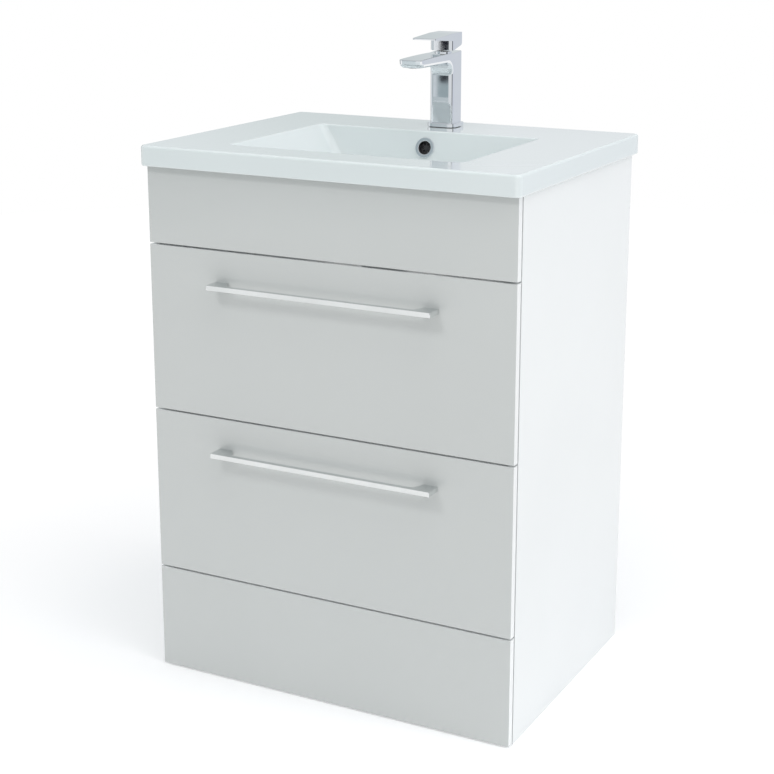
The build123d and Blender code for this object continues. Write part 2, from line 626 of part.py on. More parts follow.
def aerator():
    """The screw-in aerator in the underside of the spout's end."""
    low = SPOUT_TIP_Z - SPOUT_THICK - 0.5
    mesh_r = 7.5
    mesh_low = low + 2
    mesh_top = low + 3
    body = ring_z(0, AERATOR_Y, low, SPOUT_WATER_Z, AERATOR_R, mesh_r)
    mesh = rod_z(0, AERATOR_Y, mesh_low, mesh_top, mesh_r)
    for x in (-4.0, 0.0, 4.0):
        for dy in (-4.0, 0.0, 4.0):
            mesh -= rod_z(x, AERATOR_Y + dy, mesh_low, mesh_top, 1.2)
    return body + mesh


def cartridge():
    """The ceramic-disc cartridge: a stepped cylinder in the casting, with the bore its stem turns in."""
    body = rod_z(0, CARTRIDGE_Y, CARTRIDGE_BOTTOM, CARTRIDGE_SHOULDER, CARTRIDGE_R)
    body += rod_z(0, CARTRIDGE_Y, CARTRIDGE_SHOULDER, TAP_BODY_TOP, CARTRIDGE_NECK_R)
    return body - rod_z(0, CARTRIDGE_Y, STEM_BOTTOM - 1.5, TAP_BODY_TOP, STEM_R + RUNNING_CLEARANCE)


def cartridge_cover():
    """The chrome dress ring round the cartridge's neck, which shows under the lever."""
    skirt = ring_z(0, CARTRIDGE_Y, CARTRIDGE_SHOULDER, COLLAR_SEAT, CARTRIDGE_R, CARTRIDGE_NECK_R)
    ring = skirt + ring_z(0, CARTRIDGE_Y, COLLAR_SEAT, COLLAR_TOP, COLLAR_R, CARTRIDGE_NECK_R)
    top_edges = ring.edges().filter_by(GeomType.CIRCLE).sort_by(Axis.Z)[-2:]
    return fillet(top_edges, 0.8)


def cartridge_stem():
    """The turning stem and the cross pin on which the lever lifts."""
    stem = rod_z(0, CARTRIDGE_Y, STEM_BOTTOM, STEM_TOP, STEM_R)
    cheek = block(-STEM_HALF, STEM_HALF, CARTRIDGE_Y - 3, CARTRIDGE_Y + 3, STEM_TOP, LEVER_PIVOT_Z)
    head = rod_x(-STEM_HALF, STEM_HALF, CARTRIDGE_Y, LEVER_PIVOT_Z, 3.0)
    pin = rod_x(-PIVOT_HALF, PIVOT_HALF, CARTRIDGE_Y, LEVER_PIVOT_Z, PIVOT_R)
    return stem + cheek + head + pin


def lever():
    """The lever: a thin wedge blade running forward from a block with the column's own plan."""
    back_y = TAP_Y + TAP_DEPTH / 2
    front_y = TAP_Y - TAP_DEPTH / 2
    tip_y = TAP_Y - LEVER_REACH
    with BuildSketch(Plane.YZ) as profile:
        with BuildLine():
            Polyline(
                (back_y, LEVER_TOP),
                (front_y, LEVER_TOP - 0.5),
                (tip_y, LEVER_TOP - 5.0),
                (tip_y, LEVER_TOP - 7.5),
                (front_y, LEVER_TOP - 12.5),
                (front_y, LEVER_FRONT_BOTTOM),
                (back_y, LEVER_BACK_BOTTOM),
                close=True,
            )
        make_face()
        fillet([v for v in profile.vertices() if abs(v.Y - LEVER_BACK_BOTTOM) < 0.1], 5.0)
    body = extrude(profile.sketch, TAP_WIDTH / 2, both=True)
    front_corners = [
        e for e in body.edges().filter_by(Axis.Z)
        if abs(e.center().Y - front_y) < 0.1
    ]
    body = fillet(front_corners, TAP_CORNER)
    tip_corners = [e for e in body.edges() if abs(e.center().Y - tip_y) < 0.1 and e.length < 3.0]
    body = fillet(tip_corners, 4.0)
    top_edges = [
        e for e in body.edges()
        if e.center().Z > LEVER_TOP - 5.1 and abs(e.center().Y - front_y) > 0.1
    ]
    body = fillet(top_edges, 0.9)
    hollow_half = 13.0
    hollow_front = CARTRIDGE_Y - 6.0
    hollow_back = CARTRIDGE_Y + 11.0
    roof = LEVER_PIVOT_Z + 6
    body -= block(-hollow_half, hollow_half, hollow_front, hollow_back, LEVER_FRONT_BOTTOM - 1, roof)
    for side in (-1, 1):
        x0, x1 = sorted((side * (STEM_HALF + 0.3), side * (hollow_half + 0.5)))
        body += block(x0, x1, CARTRIDGE_Y - 4, CARTRIDGE_Y + 4, LEVER_PIVOT_Z - 4, roof + 1)
    pin_hole_half = PIVOT_HALF + 0.2
    body -= rod_x(-pin_hole_half, pin_hole_half, CARTRIDGE_Y, LEVER_PIVOT_Z, PIVOT_R + RUNNING_CLEARANCE)
    return body


def tap_fixings():
    """Below the deck: fixing stud, rubber washer, horseshoe plate and nut."""
    deck_under = DECK_UNDER_Z
    stud_y = TAP_STUD_Y
    save("tap_stud", rod_z(0, stud_y, deck_under - 45, BASIN_TOP + TAP_SEAL + 20, 4.0))
    for name, top, thick, outer in (
        ("tap_washer", deck_under, 2.0, 26.0),
        ("tap_horseshoe_plate", deck_under - 2.0, 3.0, 25.0),
    ):
        disc = rod_z(0, TAP_Y, top - thick, top, outer)
        disc -= block(-15, 15, TAP_Y - 30, TAP_Y + 3, top - thick, top)
        save(name, disc - rod_z(0, stud_y, top - thick, top, 4.0))
    nut = hexagon_z(0, stud_y, deck_under - 11.5, deck_under - 5.0, 13.0)
    save("tap_nut", nut - rod_z(0, stud_y, deck_under - 11.5, deck_under - 5.0, 4.0))
    outline = RectangleRounded(TAP_WIDTH + 2, TAP_DEPTH + 2, 6.0)
    seal = Pos(0, TAP_Y, BASIN_TOP) * extrude(outline, TAP_SEAL)
    save("tap_base_seal", seal - rod_z(0, TAP_Y, BASIN_TOP, BASIN_TOP + TAP_SEAL, 16.0))


# ---- Build --------------------------------------------------------------------------------------
def build_carcass(runner_heights):
    """Side panels, base, rails, fixed fronts, brackets and the runners' cabinet members."""
    cams, bolts, dowels = carcass_fasteners()
    panel_screws, spacers = fixed_panel_screws()
    wood_tools = cams + bolts + dowels
    runner_tools = []
    for z in runner_heights.values():
        for side in (-1, 1):
            runner_tools.extend(runner_screws(side, z))

    bracket_screws = []
    bracket_z = TOP_RAIL_Z - 50
    wall_y = FACE_Y + BASIN_BACK_REACH
    for side, name in ((-1, "left"), (1, "right")):
        x_leg0, x_leg1 = sorted((side * (INNER_HALF - 2.5), side * INNER_HALF))
        x_wall0, x_wall1 = sorted((side * (INNER_HALF - 30), side * INNER_HALF))
        bracket = block(x_leg0, x_leg1, wall_y - 43, wall_y, bracket_z - 25, bracket_z + 25)
        bracket += block(x_wall0, x_wall1, wall_y - 2.5, wall_y, bracket_z - 25, bracket_z + 25)
        bracket -= rod_y(side * (INNER_HALF - 17), wall_y - 2.5, wall_y, bracket_z, 3.5)
        screws = [
            rod_x(side * (INNER_HALF - 4.5), side * (INNER_HALF - 2.5), wall_y - 30, bracket_z + dz, 4.0)
            + rod_x(side * (INNER_HALF - 2.5), side * (INNER_HALF + 10), wall_y - 30, bracket_z + dz, 2.0)
            for dz in (-14.0, 14.0)
        ]
        bracket_screws.extend(screws)
        save(f"wall_bracket_{name}", cut(bracket, screws))
        x0, x1 = sorted((side * INNER_HALF, side * HALF_WIDTH))
        board = block(x0, x1, CARCASS_FRONT_Y, CARCASS_BACK_Y, 0, CARCASS_HEIGHT)
        mine = [t for t in wood_tools + runner_tools + screws if t.center().X * side > 0]
        save(f"side_panel_{name}", cut(board, mine))
    save("wall_bracket_screws", bracket_screws)

    base = block(-INNER_HALF, INNER_HALF, CARCASS_FRONT_Y, CARCASS_BACK_Y, BASE_UNDER, BASE_TOP)
    save("base_board", cut(base, wood_tools))
    rail_sizes = (
        ("top_front_rail", CARCASS_FRONT_Y, TOP_RAIL_Z, RAIL_HEIGHT),
        ("plinth_rail", CARCASS_FRONT_Y, 0.0, BASE_UNDER),
        ("top_back_rail", RAIL_BACK_FRONT_Y, TOP_RAIL_Z, RAIL_HEIGHT),
        ("lower_back_rail", RAIL_BACK_FRONT_Y, LOWER_BACK_RAIL_Z, RAIL_HEIGHT),
    )
    for name, y0, z0, height in rail_sizes:
        rail = block(-INNER_HALF, INNER_HALF, y0, y0 + BOARD, z0, z0 + height)
        save(name, cut(rail, wood_tools + panel_screws))
    fascia_z = UPPER_FRONT_Z + DRAWER_FRONT_HEIGHT + PANEL_JOINT
    fascia = block(-HALF_WIDTH, HALF_WIDTH, FACE_Y, FRONT_BACK_Y, fascia_z, FASCIA_TOP)
    save("fascia_panel", cut(fascia, panel_screws))
    plinth = block(-HALF_WIDTH, HALF_WIDTH, FACE_Y, FRONT_BACK_Y, PLINTH_BOTTOM, PLINTH_TOP)
    save("plinth_panel", cut(plinth, panel_screws))
    save("cam_locks", cams)
    save("cam_bolts", bolts)
    save("wood_dowels", dowels)
    save("fixed_panel_screws", panel_screws)
    save("fixed_panel_spacers", spacers)
    save("runner_screws", runner_tools)

    cabinet_members = []
    for level, z in runner_heights.items():
        cabinet_members.extend(cut(runner_fixed(side, z), runner_tools) for side in (-1, 1))
        save(f"{level}_runner_middle_members", [runner_middle(side, z) for side in (-1, 1)])
    save("runner_cabinet_members", cabinet_members)

    bumpers = []
    for front_z in (LOWER_FRONT_Z, UPPER_FRONT_Z):
        for side in (-1, 1):
            for z in (front_z + 12, front_z + DRAWER_FRONT_HEIGHT - 12):
                x = side * (HALF_WIDTH - BOARD / 2)
                bumpers.append(rod_y(x, CARCASS_FRONT_Y - 3.2, CARCASS_FRONT_Y, z, 4.0))
    save("front_bumpers", bumpers)


heights = {
    "upper": drawer("upper", UPPER_FRONT_Z, UPPER_BOX_HEIGHT, True),
    "lower": drawer("lower", LOWER_FRONT_Z, LOWER_BOX_HEIGHT, False),
}
build_carcass(heights)
save("basin", basin())
save("overflow_ring", overflow_ring())
waste_parts()
save("tap_body", tap_body())
save("aerator", aerator())
save("cartridge", cartridge())
save("cartridge_cover", cartridge_cover())
save("cartridge_stem", cartridge_stem())
save("tap_lever", lever())
tap_fixings()
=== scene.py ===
import json
import math
import bmesh
import bpy
from mathutils import Matrix, Vector


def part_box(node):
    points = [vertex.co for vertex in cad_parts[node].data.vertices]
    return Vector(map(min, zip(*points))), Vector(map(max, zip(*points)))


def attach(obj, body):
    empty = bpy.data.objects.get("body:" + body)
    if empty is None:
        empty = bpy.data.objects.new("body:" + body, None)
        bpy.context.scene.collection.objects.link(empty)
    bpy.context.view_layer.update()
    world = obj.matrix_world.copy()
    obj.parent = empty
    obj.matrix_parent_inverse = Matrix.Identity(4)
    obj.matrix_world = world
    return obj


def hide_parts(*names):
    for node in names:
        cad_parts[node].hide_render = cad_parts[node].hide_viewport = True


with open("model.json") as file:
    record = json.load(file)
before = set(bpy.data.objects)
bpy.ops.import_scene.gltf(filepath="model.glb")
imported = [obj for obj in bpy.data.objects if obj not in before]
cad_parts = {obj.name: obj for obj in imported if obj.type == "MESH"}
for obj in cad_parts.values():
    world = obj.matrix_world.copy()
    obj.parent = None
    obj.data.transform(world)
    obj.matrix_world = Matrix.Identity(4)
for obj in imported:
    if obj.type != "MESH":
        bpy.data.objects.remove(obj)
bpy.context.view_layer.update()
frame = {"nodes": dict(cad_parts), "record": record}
NODES = frame["nodes"]
SLOT_OF = {part["node"]: part["material_slot"] for part in frame["record"]["subparts"]}
BODY_OF = {node: body
           for body, members in frame["record"]["behaviour"]["bodies"].items()
           for node in members}
scene = bpy.context.scene

# ---- Camera -------------------------------------------------------------------------------------
CAMERA_PLACE = (1.156, -2.2135, 1.179)
CAMERA_YAW = math.radians(27.78)
CAMERA_PITCH = math.radians(14.195)
LENS_MM = 77.18
SENSOR_MM = 36.0
SHIFT_UP = -0.08
CLIP_NEAR, CLIP_FAR = 0.05, 60.0


def make_camera():
    """The main view: from the right, a little above the basin."""
    data = bpy.data.cameras.new("camera")
    data.sensor_width = SENSOR_MM
    data.lens = LENS_MM
    data.shift_y = SHIFT_UP
    data.clip_start = CLIP_NEAR
    data.clip_end = CLIP_FAR
    cam = bpy.data.objects.new("camera", data)
    scene.collection.objects.link(cam)
    cam.location = CAMERA_PLACE
    cam.rotation_euler = (math.pi / 2 - CAMERA_PITCH, 0.0, CAMERA_YAW)
    scene.camera = cam


# ---- Node helpers -------------------------------------------------------------------------------
class Shader:
    """A material under construction: a principled shader and short calls for the nodes before it."""

    def __init__(self, name):
        self.material = bpy.data.materials.new(name)
        self.material.use_nodes = True
        self.tree = self.material.node_tree
        self.tree.nodes.clear()
        self.out = self.tree.nodes.new("ShaderNodeOutputMaterial")
        self.bsdf = self.tree.nodes.new("ShaderNodeBsdfPrincipled")
        self.link(self.bsdf.outputs[0], self.out.inputs["Surface"])
        self.where = self.tree.nodes.new("ShaderNodeTexCoord")
        self.bump_height = None

    def link(self, a, b):
        self.tree.links.new(a, b)

    def set(self, **values):
        for key, value in values.items():
            self.bsdf.inputs[key.replace("_", " ")].default_value = value

    def mapped(self, scale):
        """Object coordinates, stretched by scale."""
        node = self.tree.nodes.new("ShaderNodeMapping")
        node.inputs["Scale"].default_value = scale
        self.link(self.where.outputs["Object"], node.inputs["Vector"])
        return node.outputs[0]

    def noise(self, scale, detail=3.0, rough=0.5, stretch=(1, 1, 1)):
        node = self.tree.nodes.new("ShaderNodeTexNoise")
        node.inputs["Scale"].default_value = scale
        node.inputs["Detail"].default_value = detail
        node.inputs["Roughness"].default_value = rough
        self.link(self.mapped(stretch), node.inputs["Vector"])
        return node.outputs["Fac"]

    def voronoi(self, scale, stretch=(1, 1, 1)):
        node = self.tree.nodes.new("ShaderNodeTexVoronoi")
        node.inputs["Scale"].default_value = scale
        self.link(self.mapped(stretch), node.inputs["Vector"])
        return node.outputs["Distance"]

    def ramp(self, source, low, high, start=0.0, end=1.0):
        """The source remapped from start..end to low..high."""
        node = self.tree.nodes.new("ShaderNodeMapRange")
        node.inputs["From Min"].default_value = start
        node.inputs["From Max"].default_value = end
        node.inputs["To Min"].default_value = low
        node.inputs["To Max"].default_value = high
        self.link(source, node.inputs["Value"])
        return node.outputs[0]

    def contrast(self, noise, start=0.35, end=0.65):
        """The middle of a noise spread over 0 to 1, for mixing two close colours."""
        return self.ramp(noise, 0.0, 1.0, start, end)

    def mix(self, factor, a, b):
        """A colour mix; a and b are colours or sockets."""
        node = self.tree.nodes.new("ShaderNodeMix")
        node.data_type = "RGBA"
        self.link(factor, node.inputs["Factor"])
        for value, name in ((a, "A"), (b, "B")):
            socket = [s for s in node.inputs if s.name == name and s.type == "RGBA"][0]
            if isinstance(value, (tuple, list)):
                socket.default_value = (*value, 1.0)
            else:
                self.link(value, socket)
        return [s for s in node.outputs if s.type == "RGBA"][0]

    def colour(self, source):
        self.link(source, self.bsdf.inputs["Base Color"])

    def roughness(self, source):
        self.link(source, self.bsdf.inputs["Roughness"])

    def bump(self, source, depth, strength=1.0):
        """Adds a bump layer: depth is in metres."""
        node = self.tree.nodes.new("ShaderNodeBump")
        node.inputs["Strength"].default_value = strength
        node.inputs["Distance"].default_value = depth
        self.link(source, node.inputs["Height"])
        if self.bump_height is not None:
            self.link(self.bump_height, node.inputs["Normal"])
        self.bump_height = node.outputs[0]
        self.link(self.bump_height, self.bsdf.inputs["Normal"])

    def normal_part(self, axis):
        """One component of the surface's own direction, in object space."""
        node = self.tree.nodes.new("ShaderNodeSeparateXYZ")
        self.link(self.where.outputs["Normal"], node.inputs[0])
        return node.outputs[axis]


# ---- Materials ----------------------------------------------------------------------------------
FRONT_GREY = (0.548, 0.566, 0.556)
FRONT_GREY_DUSKY = (0.533, 0.551, 0.541)
BOARD_WHITE = (0.768, 0.784, 0.782)
BOARD_WHITE_DUSKY = (0.75, 0.766, 0.764)
CERAMIC_WHITE = (0.685, 0.735, 0.735)
CERAMIC_WHITE_DEEP = (0.67, 0.72, 0.72)
FACE_SURE, FACE_GONE = -0.72, -0.55       # the normal's Y where the grey is full and where it ends


def front_lacquer():
    """Light grey gloss lacquer on the face, with white edges and a white back."""
    s = Shader("front_lacquer")
    cloud = s.contrast(s.noise(2.2, 3.0))
    face = s.mix(cloud, FRONT_GREY, FRONT_GREY_DUSKY)
    fine = s.contrast(s.noise(40.0, 2.0), 0.3, 0.7)
    edge = s.mix(fine, BOARD_WHITE, BOARD_WHITE_DUSKY)
    facing = s.ramp(s.normal_part("Y"), 1.0, 0.0, FACE_SURE, FACE_GONE)
    s.colour(s.mix(facing, edge, face))
    s.roughness(s.ramp(s.noise(9.0, 4.0), 0.20, 0.27))
    s.set(Coat_Weight=0.55, Coat_Roughness=0.09, Specular_IOR_Level=0.45)
    s.bump(s.noise(420.0, 2.0), 0.00002, 0.35)
    s.bump(s.noise(24.0, 1.0), 0.0001, 0.12)
    return s.material


def white_melamine(name, white, dusky, rough):
    """White-faced board: a faint pearl grain and a slight unevenness of gloss."""
    s = Shader(name)
    cloud = s.contrast(s.noise(3.0, 4.0))
    s.colour(s.mix(cloud, white, dusky))
    s.roughness(s.ramp(s.noise(14.0, 4.0), rough - 0.04, rough + 0.05))
    s.set(Specular_IOR_Level=0.4)
    s.bump(s.voronoi(900.0), 0.00003, 0.3)
    s.bump(s.noise(260.0, 3.0), 0.00003, 0.25)
    return s.material


def ceramic():
    """White glaze over fireclay: slightly blue, glassy, with the glaze's slow waviness."""
    s = Shader("basin_ceramic_glaze")
    cloud = s.contrast(s.noise(4.0, 3.0))
    s.colour(s.mix(cloud, CERAMIC_WHITE, CERAMIC_WHITE_DEEP))
    s.roughness(s.ramp(s.noise(30.0, 3.0), 0.10, 0.15))
    s.set(Coat_Weight=1.0, Coat_Roughness=0.03, Specular_IOR_Level=0.5)
    s.bump(s.noise(16.0, 2.0), 0.0004, 0.10)
    s.bump(s.noise(700.0, 2.0), 0.00001, 0.2)
    return s.material


def metal(name, colour, dusky, rough_low, rough_high,
          grain=(1, 1, 1), grain_scale=300.0, depth=0.00001, bump_strength=0.2):
    """Plated or bare metal: smudged colour, uneven roughness and a fine directional grain."""
    s = Shader(name)
    smudge = s.contrast(s.noise(18.0, 4.0))
    s.colour(s.mix(smudge, colour, dusky))
    s.roughness(s.ramp(s.noise(45.0, 4.0, 0.6, grain), rough_low, rough_high, 0.3, 0.7))
    s.set(Metallic=1.0)
    s.bump(s.noise(grain_scale, 3.0, 0.6, grain), depth, bump_strength)
    return s.material


def plastic(name, colour, dusky, rough, scale=400.0, depth=0.00002):
    """Moulded plastic or rubber with a fine spark-eroded texture."""
    s = Shader(name)
    s.colour(s.mix(s.contrast(s.noise(60.0, 3.0)), colour, dusky))
    s.roughness(s.ramp(s.noise(80.0, 3.0), rough - 0.06, rough + 0.08))
    s.bump(s.noise(scale, 3.0), depth, 0.4)
    return s.material


def bumper_plastic():
    """Clear polyurethane bumper."""
    s = Shader("clear_bumper")
    s.colour(s.mix(s.noise(90.0, 2.0), (0.86, 0.88, 0.88), (0.80, 0.83, 0.83)))
    s.roughness(s.ramp(s.noise(120.0, 2.0), 0.22, 0.34))
    s.set(Transmission_Weight=0.75, IOR=1.46)
    s.bump(s.noise(300.0, 2.0), 0.00002, 0.3)
    return s.material


def dowel_wood():
    """Beech dowel: long brown fibres along X."""
    s = Shader("beech_dowel")
    grain = s.noise(160.0, 5.0, 0.6, (0.08, 1.0, 1.0))
    s.colour(s.mix(s.contrast(grain), (0.58, 0.40, 0.24), (0.42, 0.27, 0.15)))
    s.roughness(s.ramp(grain, 0.5, 0.7))
    s.bump(grain, 0.00015, 0.5)
    return s.material


MATERIALS = {
    "gloss_grey_front": front_lacquer(),
    "white_board": white_melamine("white_board_melamine", BOARD_WHITE, BOARD_WHITE_DUSKY, 0.36),
    "drawer_board": white_melamine("drawer_board_melamine",
                                   (0.78, 0.79, 0.785), (0.75, 0.76, 0.755), 0.42),
    "handle_chrome": metal("handle_chrome_plate", (0.78, 0.80, 0.80), (0.73, 0.75, 0.75), 0.12, 0.19,
                           grain=(0.03, 1, 1), grain_scale=900.0, depth=0.000006),
    "runner_steel": metal("zinc_runner_steel", (0.62, 0.63, 0.65), (0.52, 0.53, 0.55), 0.30, 0.46,
                          grain=(1, 0.04, 1), grain_scale=500.0, depth=0.00002, bump_strength=0.4),
    "zinc_steel": metal("zinc_fastener_steel", (0.66, 0.67, 0.68), (0.54, 0.55, 0.57), 0.28, 0.42),
    "cam_zinc": metal("cast_zinc", (0.56, 0.57, 0.58), (0.46, 0.47, 0.48), 0.38, 0.55,
                      grain_scale=380.0, depth=0.00004, bump_strength=0.5),
    "dowel_wood": dowel_wood(),
    "clear_plastic": bumper_plastic(),
    "basin_ceramic": ceramic(),
    "tap_chrome": metal("tap_chrome_plate", (0.84, 0.86, 0.88), (0.81, 0.83, 0.86), 0.018, 0.034,
                        grain_scale=140.0, depth=0.000003, bump_strength=0.1),
    "black_plastic": plastic("black_moulded_plastic", (0.018, 0.018, 0.02), (0.03, 0.03, 0.032), 0.34),
    "black_rubber": plastic("black_rubber_seal", (0.022, 0.022, 0.022), (0.04, 0.04, 0.04), 0.62,
                            scale=250.0, depth=0.00006),
    "grey_plastic": plastic("grey_moulded_plastic", (0.42, 0.43, 0.44), (0.36, 0.37, 0.38), 0.38),
    "tap_brass": metal("machined_brass", (0.54, 0.46, 0.32), (0.46, 0.39, 0.27), 0.30, 0.42),
}

ARRIS_WIDTH = {
    "gloss_grey_front": 0.0007,
    "white_board": 0.0004,
    "drawer_board": 0.0004,
    "handle_chrome": 0.0005,
}
ARRIS_ANGLE = math.radians(60)
WELD_REACH = 0.00001


def dress_cad_nodes():
    """Every CAD node gets its slot's material; boards and handles get softened arrises."""
    for name, node in NODES.items():
        slot_name = SLOT_OF[name]
        for place in node.material_slots:
            place.material = MATERIALS[slot_name]
        if slot_name in ARRIS_WIDTH:
            weld = node.modifiers.new("weld", "WELD")
            weld.merge_threshold = WELD_REACH
            bevel = node.modifiers.new("arris", "BEVEL")
            bevel.width = ARRIS_WIDTH[slot_name]
            bevel.segments = 2
            bevel.limit_method = "ANGLE"
            bevel.angle_limit = ARRIS_ANGLE
            bevel.harden_normals = True


# ---- Stage and light ----------------------------------------------------------------------------
FLOOR_REACH = 4.2
FLOOR_SIDES = 96
FLOOR_PAINT = ((0.93, 0.93, 0.93), (0.915, 0.915, 0.92))
FLOOR_TURNS_FROM, FLOOR_TURNS_TO = 0.55, 1.15     # distances over which the floor turns plain white
FLOOR_GLOW_NEAR, FLOOR_GLOW_FAR = 0.17, 1.02


def make_floor():
    """A round pale floor that turns to plain white away from the object."""
    mesh = bpy.data.meshes.new("studio_floor")
    turns = [2 * math.pi * i / FLOOR_SIDES for i in range(FLOOR_SIDES)]
    ring = [(FLOOR_REACH * math.cos(t), FLOOR_REACH * math.sin(t), 0.0) for t in turns]
    mesh.from_pydata(ring, [], [tuple(range(FLOOR_SIDES))])
    floor = bpy.data.objects.new("studio_floor", mesh)
    scene.collection.objects.link(floor)
    s = Shader("studio_floor_paint")
    length = s.tree.nodes.new("ShaderNodeVectorMath")
    length.operation = "LENGTH"
    s.link(s.where.outputs["Object"], length.inputs[0])
    far = s.ramp(length.outputs["Value"], 0.0, 1.0, FLOOR_TURNS_FROM, FLOOR_TURNS_TO)
    near = s.mix(s.noise(3.0, 2.0), *FLOOR_PAINT)
    s.colour(s.mix(far, near, (0.0, 0.0, 0.0)))
    s.roughness(s.ramp(s.noise(5.0, 2.0), 0.75, 0.85))
    s.set(Specular_IOR_Level=0.1, Emission_Color=(1, 1, 1, 1))
    s.link(s.ramp(far, FLOOR_GLOW_NEAR, FLOOR_GLOW_FAR), s.bsdf.inputs["Emission Strength"])
    mesh.materials.append(s.material)


def area_light(name, place, target, size, power):
    """A soft rectangular light that the glossy parts don't mirror."""
    data = bpy.data.lights.new(name, "AREA")
    data.shape = "RECTANGLE"
    data.size, data.size_y = size
    data.energy = power
    lamp = bpy.data.objects.new(name, data)
    scene.collection.objects.link(lamp)
    lamp.location = place
    direction = Vector(target) - Vector(place)
    lamp.rotation_euler = direction.to_track_quat("-Z", "Y").to_euler()
    lamp.visible_glossy = False


# The studio round the object, by compass angle from the front (degrees, + is to the right):
# what the glossy parts mirror, as grey levels with a cool tint.
SURROUND = (
    (-180, (0.94, 0.98, 1.01)),
    (-156, (0.98, 1.02, 1.05)),
    (-152.5, (0.80, 0.87, 0.88)),
    (-149.5, (0.80, 0.87, 0.88)),
    (-144, (0.92, 0.98, 1.00)),
    (-128, (0.92, 0.98, 1.00)),
    (-122, (0.05, 0.06, 0.07)),
    (-108, (0.05, 0.06, 0.07)),
    (-102, (1.15, 1.18, 1.20)),
    (-62, (1.15, 1.18, 1.20)),
    (-52, (0.60, 0.67, 0.70)),
    (-36, (0.44, 0.53, 0.56)),
    (-27.5, (0.48, 0.57, 0.60)),
    (-22, (0.98, 1.00, 1.02)),
    (58, (1.06, 1.08, 1.10)),
    (66, (0.10, 0.11, 0.13)),
    (78, (0.10, 0.11, 0.13)),
    (86, (0.90, 0.93, 1.00)),
    (130, (0.88, 0.92, 1.02)),
    (180, (0.94, 0.98, 1.01)),
)

# Small panels and flags far off in front, which the tap's flat faces mirror:
# compass angles from and to, heights above the horizon from and to (degrees), grey level.
PANELS = (
    (-26.50, -26.06, -8.2, -5.3, (0.90, 0.96, 1.00)),
    (-26.06, -25.60, -8.2, -5.3, (0.44, 0.53, 0.56)),
    (-25.98, -25.62, -5.88, -5.58, (0.01, 0.01, 0.02)),
    (-27.20, -25.98, -5.3, -4.2, (1.20, 1.22, 1.24)),
    (-25.98, -25.62, -5.3, -4.2, (0.01, 0.01, 0.02)),
)

OVERHEAD = (0.78, 0.80, 0.82)
OVERHEAD_FROM, SURROUND_UP_TO = 0.62, 0.30    # sines of the heights where one fades to the other
WORLD_STRENGTH = 0.75
LAMPS = (                                 # name, place, target, size, watts
    ("key_right", (3.2, -0.6, 1.9), (0, 0, 0.5), (2.2, 2.4), 33.0),
    ("top_fill", (1.0, -0.3, 3.0), (0, 0, 0.6), (2.2, 2.2), 28.0),
    ("high_front", (-0.5, -2.4, 2.9), (0, 0, 0.5), (1.0, 0.6), 22.0),
)


def make_world():
    """White where the camera looks straight at it; elsewhere the studio's softboxes and flags."""
    world = bpy.data.worlds.new("studio")
    scene.world = world
    world.use_nodes = True
    tree = world.node_tree
    tree.nodes.clear()
    link = tree.links.new

    def colours(sockets):
        return [socket for socket in sockets if socket.type == "RGBA"]

    def node(kind, **settings):
        made = tree.nodes.new(kind)
        for key, value in settings.items():
            setattr(made, key, value)
        return made

    where = node("ShaderNodeTexCoord")
    parts = node("ShaderNodeSeparateXYZ")
    link(where.outputs["Generated"], parts.inputs[0])
    towards = node("ShaderNodeMath", operation="MULTIPLY")
    towards.inputs[1].default_value = -1.0
    link(parts.outputs["Y"], towards.inputs[0])
    angle = node("ShaderNodeMath", operation="ARCTAN2")
    link(parts.outputs["X"], angle.inputs[0])
    link(towards.outputs[0], angle.inputs[1])
    share = node("ShaderNodeMapRange")
    share.inputs["From Min"].default_value = -math.pi
    share.inputs["From Max"].default_value = math.pi
    link(angle.outputs[0], share.inputs["Value"])
    ramp = node("ShaderNodeValToRGB")
    stops = ramp.color_ramp.elements
    while len(stops) > 1:
        stops.remove(stops[-1])
    for i, (degrees, colour) in enumerate(SURROUND):
        place = (degrees + 180.0) / 360.0
        stop = stops[0] if i == 0 else stops.new(place)
        stop.position = place
        stop.color = (*colour, 1.0)
    link(share.outputs[0], ramp.inputs[0])
    band = node("ShaderNodeMapRange")     # 1 round the horizon, 0 overhead
    band.inputs["From Min"].default_value = OVERHEAD_FROM
    band.inputs["From Max"].default_value = SURROUND_UP_TO
    link(parts.outputs["Z"], band.inputs["Value"])
    mix = node("ShaderNodeMix", data_type="RGBA")
    link(band.outputs[0], mix.inputs["Factor"])
    overhead, around = colours(mix.inputs)
    overhead.default_value = (*OVERHEAD, 1.0)
    link(ramp.outputs[0], around)
    height = node("ShaderNodeMath", operation="ARCSINE")
    link(parts.outputs["Z"], height.inputs[0])
    painted = colours(mix.outputs)[0]
    for turn_from, turn_to, height_from, height_to, colour in PANELS:
        inside = []
        for source, low, high in ((angle, turn_from, turn_to), (height, height_from, height_to)):
            test = node("ShaderNodeMath", operation="COMPARE")
            test.inputs[1].default_value = math.radians((low + high) / 2)
            test.inputs[2].default_value = math.radians((high - low) / 2)
            link(source.outputs[0], test.inputs[0])
            inside.append(test)
        both = node("ShaderNodeMath", operation="MULTIPLY")
        link(inside[0].outputs[0], both.inputs[0])
        link(inside[1].outputs[0], both.inputs[1])
        layer = node("ShaderNodeMix", data_type="RGBA")
        link(both.outputs[0], layer.inputs["Factor"])
        under, over = colours(layer.inputs)
        link(painted, under)
        over.default_value = (*colour, 1.0)
        painted = colours(layer.outputs)[0]
    lit = node("ShaderNodeBackground")
    lit.inputs["Strength"].default_value = WORLD_STRENGTH
    link(painted, lit.inputs["Color"])
    seen = node("ShaderNodeBackground")
    seen.inputs["Color"].default_value = (1, 1, 1, 1)
    path = node("ShaderNodeLightPath")
    pick = node("ShaderNodeMixShader")
    link(path.outputs["Is Camera Ray"], pick.inputs[0])
    link(lit.outputs[0], pick.inputs[1])
    link(seen.outputs[0], pick.inputs[2])
    link(pick.outputs[0], node("ShaderNodeOutputWorld").inputs[0])


